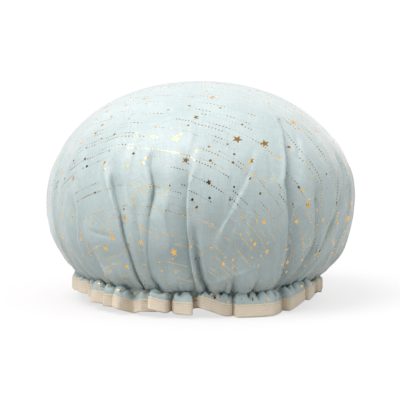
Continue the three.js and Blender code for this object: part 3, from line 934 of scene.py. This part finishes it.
def newFinish(name, constants):
    material = bpy.data.materials.new(name)
    material.use_nodes = True
    shader = material.node_tree.nodes["Principled BSDF"]
    for key, value in constants.items():
        shader.inputs[key].default_value = value
    return material, Shade(material.node_tree), shader


def feed(shader, shade, socket):
    shade.tree.links.new(shade.socket, shader.inputs[socket])


def bump(shader, height, strength, distance):
    # Relief for a height of 0 to 1.
    values = {"Strength": strength, "Distance": distance, "Height": height}
    feed(shader, height.node("ShaderNodeBump", None, values), "Normal")


def flatPlace(shade):
    # Metres on the piece as it lies flat.
    return shade.node("ShaderNodeUVMap", {"uv_map": "flat"})


clothFinish = {
    "pale": (0.61, 0.72, 0.715, 1),
    "deep": (0.31, 0.42, 0.415, 1),
    "foil": (0.80, 0.47, 0.11, 1),
    "starCell": 21 * mm,
    "starSmall": 1.3 * mm,  # radius to a tip
    "starLarge": 4 * mm,
    "starShare": 0.7,  # of the cells that have one
    "starWaist": 0.42,  # inner radius for an outer radius of 1
    "dotCell": 15 * mm,
    "dotSmall": 0.5 * mm,
    "dotLarge": 1.1 * mm,
    "lineTurn": 0.47,  # radians that the lines of dots are turned from the front
    "lineStep": 5.6 * mm,
    "lineDot": 2.3 * mm,  # from one dot of a line to the next
    "lineFine": 0.27 * mm,  # radius of most dots
    "lineBold": 0.52 * mm,
    "lineRun": 38 * mm,  # usual length of an unbroken run
    "yarn": 1.1 * mm,
    "yarnLength": 12 * mm,  # over which a yarn keeps its thickness
}


def starMask(flat):
    # One star in most cells. A point is inside if it lies within the line from a tip to the waist.
    place = flat.cells(clothFinish["starCell"], 0.9, "Position")
    chance = flat.cells(clothFinish["starCell"], 0.9, "Color")
    red, green, blue = (chance.part(k) for k in range(3))
    local = flat.vector("SUBTRACT", place)
    far = local.vector("LENGTH", local, "Value")
    angle = local.part(1).math("ARCTAN2", local.part(0)) + red * (2 * math.pi)
    sector = angle.math("PINGPONG", math.pi / 5)
    waist = clothFinish["starWaist"]
    edge = waist * math.sin(math.pi / 5)
    slope = 1 - waist * math.cos(math.pi / 5)
    size = clothFinish["starSmall"] + green * green * (clothFinish["starLarge"] - clothFinish["starSmall"])
    inside = (far * sector.math("COSINE") * edge + far * sector.math("SINE") * slope) < size * edge
    return inside * (blue < clothFinish["starShare"])


def dotMask(flat):
    # One round dot in some cells.
    near = flat.cells(clothFinish["dotCell"], 1, "Distance") * clothFinish["dotCell"]
    chance = flat.cells(clothFinish["dotCell"], 1, "Color").part(0)
    size = clothFinish["dotSmall"] + chance * (clothFinish["dotLarge"] - clothFinish["dotSmall"])
    return (near < size) * (chance > 0.55)


def lineMask(flat):
    # Straight rows of fine dots. Each row is cut into runs, and noise leaves out about half of them.
    step = clothFinish["lineStep"]
    pitch = clothFinish["lineDot"]
    turned = flat.mapped("Rotation", (0, 0, clothFinish["lineTurn"]))
    x, y = turned.part(0), turned.part(1)
    row = (y / step).math("FLOOR")
    rowChance = flat.node("ShaderNodeTexWhiteNoise", {"noise_dimensions": "1D"}, {"W": row}, "Value")
    away = ((y / step).math("FRACT") - 0.25 - 0.5 * rowChance) * step
    along = ((x / pitch + rowChance).math("FRACT") - 0.5) * pitch
    radius = (away * away + along * along).math("SQRT")
    run = (x / clothFinish["lineRun"] + rowChance * 7).math("FLOOR")
    runPlace = flat.node("ShaderNodeCombineXYZ", None, {0: run, 1: row})
    chance = flat.node("ShaderNodeTexWhiteNoise", {"noise_dimensions": "2D"}, {"Vector": runPlace}, "Value")
    fade = flat.noise(22, 1)
    bold = (flat.noise(90, 0) + chance * 0.3) > 0.72
    size = clothFinish["lineFine"] + bold * (clothFinish["lineBold"] - clothFinish["lineFine"])
    return (radius < size) * ((chance * 0.6 + fade * 0.8) > 0.66)


def yarns(flat, along):
    # Noise that is drawn out along one of the two directions of the weave.
    stretch = [1 / clothFinish["yarn"], 1 / clothFinish["yarn"], 1]
    stretch[along] = 1 / clothFinish["yarnLength"]
    return flat.mapped("Scale", tuple(stretch)).noise(1, 1)


def printedCloth():
    # Satin cloth with stars, dots and broken lines of dots in gold foil, laid out on the flat round.
    satin = {"Sheen Weight": 0.55, "Sheen Roughness": 0.4, "Specular IOR Level": 0.85}
    material, shade, shader = newFinish("printed_satin", satin)
    flat = flatPlace(shade)
    foil = starMask(flat).math("MAXIMUM", dotMask(flat)).math("MAXIMUM", lineMask(flat))
    weave = yarns(flat, 0) * 0.5 + yarns(flat, 1) * 0.5
    slub = flat.noise(35, 5)
    wrinkle = flat.noise(60, 3)
    crinkle = flat.noise(75, 2, 0.6)
    crease = (1 - (crinkle - 0.5).math("ABSOLUTE") * 9).math("MAXIMUM", 0)
    colour = (slub * 0.35 + weave * 0.65).mixed(clothFinish["deep"], clothFinish["pale"])
    feed(shader, foil.mixed(colour, clothFinish["foil"]), "Base Color")
    feed(shader, foil, "Metallic")
    feed(shader, 0.46 - foil * 0.28 + slub * 0.08, "Roughness")
    bump(shader, weave * 0.35 + wrinkle + crease * 0.22, 0.5, 0.6 * mm)
    return material


tapeFinish = {
    "pale": (0.90, 0.81, 0.66, 1),
    "deep": (0.74, 0.64, 0.48, 1),
    "rib": 1.9 * mm,
    "yarn": 0.6 * mm,
}


def creamTape():
    # A ribbed tape: ribs along its length, crossed by fine yarns.
    material, shade, shader = newFinish("cream_ribbed_tape", {"Sheen Weight": 0.2})
    flat = flatPlace(shade)
    rib = flat.part(1).stripes(tapeFinish["rib"])
    yarn = flat.part(0).stripes(tapeFinish["yarn"])
    slub = flat.noise(180, 4)
    feed(shader, (rib * 0.3 + slub * 0.7).mixed(tapeFinish["deep"], tapeFinish["pale"]), "Base Color")
    feed(shader, 0.8 + slub * 0.12, "Roughness")
    bump(shader, rib * 0.7 + yarn * 0.2 + slub * 0.3, 0.6, 0.15 * mm)
    return material


def liningFilm():
    # Thin white film with soft crinkles.
    material, shade, shader = newFinish("lining_film", {"Coat Weight": 0.1})
    crinkle = flatPlace(shade).noise(90, 6, 1.2)
    feed(shader, crinkle.mixed((0.72, 0.76, 0.755, 1), (0.84, 0.86, 0.855, 1)), "Base Color")
    feed(shader, 0.32 + crinkle * 0.16, "Roughness")
    bump(shader, crinkle, 0.5, 0.6 * mm)
    return material


def whiteElastic():
    # Braided elastic: two sets of strands that cross at a slant.
    material, shade, shader = newFinish("braided_elastic", {"Roughness": 0.85})
    flat = flatPlace(shade)
    u, v = flat.part(0) * (2 * math.pi / (1.4 * mm)), flat.part(1) * (2 * math.pi / (0.9 * mm))
    braid = (u + v).math("SINE").math("MAXIMUM", (u - v).math("SINE")) * 0.5 + 0.5
    feed(shader, braid.mixed((0.62, 0.61, 0.58, 1), (0.86, 0.85, 0.82, 1)), "Base Color")
    bump(shader, braid, 0.7, 0.2 * mm)
    return material


def sewingThread(name, pale, deep):
    # Two plies twisted together, drawn as slanting bands along the thread.
    material, shade, shader = newFinish(name, {"Roughness": 0.6, "Sheen Weight": 0.3})
    flat = flatPlace(shade)
    twist = (flat.part(0) / (0.7 * mm) + flat.part(1) / (0.6 * mm)).stripes(1)
    feed(shader, twist.mixed(deep, pale), "Base Color")
    bump(shader, twist, 0.5, 0.08 * mm)
    return material


finishes = {
    "printed_cloth": printedCloth(),
    "cream_tape": creamTape(),
    "lining_film": liningFilm(),
    "white_elastic": whiteElastic(),
    "aqua_thread": sewingThread("aqua_sewing_thread", (0.50, 0.62, 0.61, 1), (0.38, 0.5, 0.49, 1)),
    "cream_thread": sewingThread("cream_sewing_thread", (0.78, 0.70, 0.56, 1), (0.62, 0.54, 0.41, 1)),
}
print("finishes:", len(finishes))

slots = {row["node"]: row["material_slot"] for row in frame["record"]["subparts"]}
bandPieces = {
    "outer_cloth": outerCloth,
    "waterproof_lining": buildLining(),
    "hem_binding": buildBinding(),
    "casing_tape": buildCasing(),
    "elastic_band": buildElastic(),
    "casing_upper_needle_thread": clothStitches("upper_needle_stitches", firstNeck - 1),
    "casing_lower_needle_thread": clothStitches("lower_needle_stitches", firstFrill - 1),
    "casing_upper_bobbin_thread": casingStitches("upper_bobbin_stitches", upperRow + 0.2 * mm),
    "casing_lower_bobbin_thread": casingStitches("lower_bobbin_stitches", lowerRow - 0.2 * mm),
    "binding_needle_thread": bindingStitches("binding_needle_stitches", 1 * mm, outerFace, 1),
    "binding_bobbin_thread": bindingStitches("binding_bobbin_stitches", 1.4 * mm, innerFace, -1),
}
backPieces = {
    "elastic_join_zigzag": buildZigzag(),
    "casing_join_tack": buildCasingTack(),
    "binding_join_tack": buildBindingTack(),
}
for node, piece in {**bandPieces, **backPieces}.items():
    piece.data.materials.append(finishes[slots[node]])
    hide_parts(node)
for piece in bandPieces.values():
    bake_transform(piece)
for piece in backPieces.values():
    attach(piece, "hem_back")
print("pieces:", len(bandPieces) + len(backPieces))


# Studio
studio = {
    "floorSize": 30,
    "floorGlow": 0.7,  # that the camera sees besides the lit floor, so that the shadow is faint
    "floorSeen": 0.2,
    "floorBounce": 0.36,
    "sky": 1.56,
    "skyLow": 0.06,  # share of it near the horizon
    "skyHidden": 0.75,  # share of it that isn't mirrored by shiny things
    "backdrop": 0.72,
    "key": 2.0,
    "leftFill": 0.8,
    "rightFill": 0.68,
    "warm": (1, 0.93, 0.935),
    "cool": (0.92, 1, 1),
    "target": (0, 0, 76.8 * mm),
    "elevation": 7.6,
    "distance": 2.4,
    "frameWidth": 315 * mm,  # that the picture spans at the cap
    "sensor": 36,
}


# Name, strength, colour, angle that the lamp spans, and its azimuth and elevation, in degrees.
lamps = [
    ("overhead_softbox", studio["key"], studio["warm"], 35, -62, 64),
    ("left_fill", studio["leftFill"], studio["cool"], 50, -55, 22),
    ("right_fill", studio["rightFill"], studio["cool"], 50, 75, 28),
]


def buildFloor():
    half = studio["floorSize"] / 2
    corners = np.array([(-half, -half, 0), (half, -half, 0), (half, half, 0), (-half, half, 0)], float)
    floor = addMesh("floor", corners, [[0, 1, 2, 3]], corners[:, :2])
    matt = {"Roughness": 1, "Specular IOR Level": 0, "Emission Strength": 1}
    material, shade, shader = newFinish("pale_floor", matt)
    mirrored = shade.ray("Glossy").math("MAXIMUM", shade.ray("Transmission"))
    seen = shade.ray("Camera").math("MAXIMUM", mirrored)
    bounce, shown, glow = ((studio[key],) * 3 + (1,) for key in ("floorBounce", "floorSeen", "floorGlow"))
    feed(shader, seen.mixed(bounce, shown), "Base Color")
    feed(shader, seen.mixed((0, 0, 0, 1), glow), "Emission Color")
    floor.data.materials.append(material)


def softSun(name, strength, colour, spreadAngle, azimuth, elevation):
    lamp = bpy.data.lights.new(name, "SUN")
    lamp.energy = strength
    lamp.color = colour
    lamp.angle = math.radians(spreadAngle)
    holder = bpy.data.objects.new(name, lamp)
    holder.rotation_euler = (math.radians(90 - elevation), 0, math.radians(azimuth))
    bpy.context.scene.collection.objects.link(holder)


def buildCamera():
    camera = bpy.data.cameras.new("camera")
    camera.sensor_width = studio["sensor"]
    camera.lens = studio["sensor"] * studio["distance"] / studio["frameWidth"]
    camera.clip_end = 100
    holder = bpy.data.objects.new("camera", camera)
    rise = math.radians(studio["elevation"])
    x, y, z = studio["target"]
    holder.location = (x, y - studio["distance"] * math.cos(rise), z + studio["distance"] * math.sin(rise))
    holder.rotation_euler = (math.pi / 2 - rise, 0, 0)
    bpy.context.scene.collection.objects.link(holder)
    bpy.context.scene.camera = holder


def buildWorld():
    # A sky that is bright overhead and dim towards the horizon, as under a large ceiling light, with a pale
    # backdrop behind the cap. Shiny things mirror less of the ceiling.
    world = bpy.data.worlds.new("studio")
    bpy.context.scene.world = world
    world.use_nodes = True
    shade = Shade(world.node_tree)
    direction = shade.node("ShaderNodeTexCoord", None, None, "Generated")
    overhead = direction.part(2).ramp(0.4, 0.95, studio["skyLow"], 1)
    behind = direction.part(1).ramp(0.3, 0.8, 0, studio["backdrop"])
    overhead = overhead * (1 - shade.ray("Glossy") * studio["skyHidden"])
    background = world.node_tree.nodes["Background"]
    background.inputs["Strength"].default_value = studio["sky"]
    feed(background, overhead.math("MAXIMUM", behind).mixed((0, 0, 0, 1), studio["warm"] + (1,)), "Color")


buildFloor()
buildWorld()
for lamp in lamps:
    softSun(*lamp)
buildCamera()
bpy.context.scene.view_settings.view_transform = "Standard"
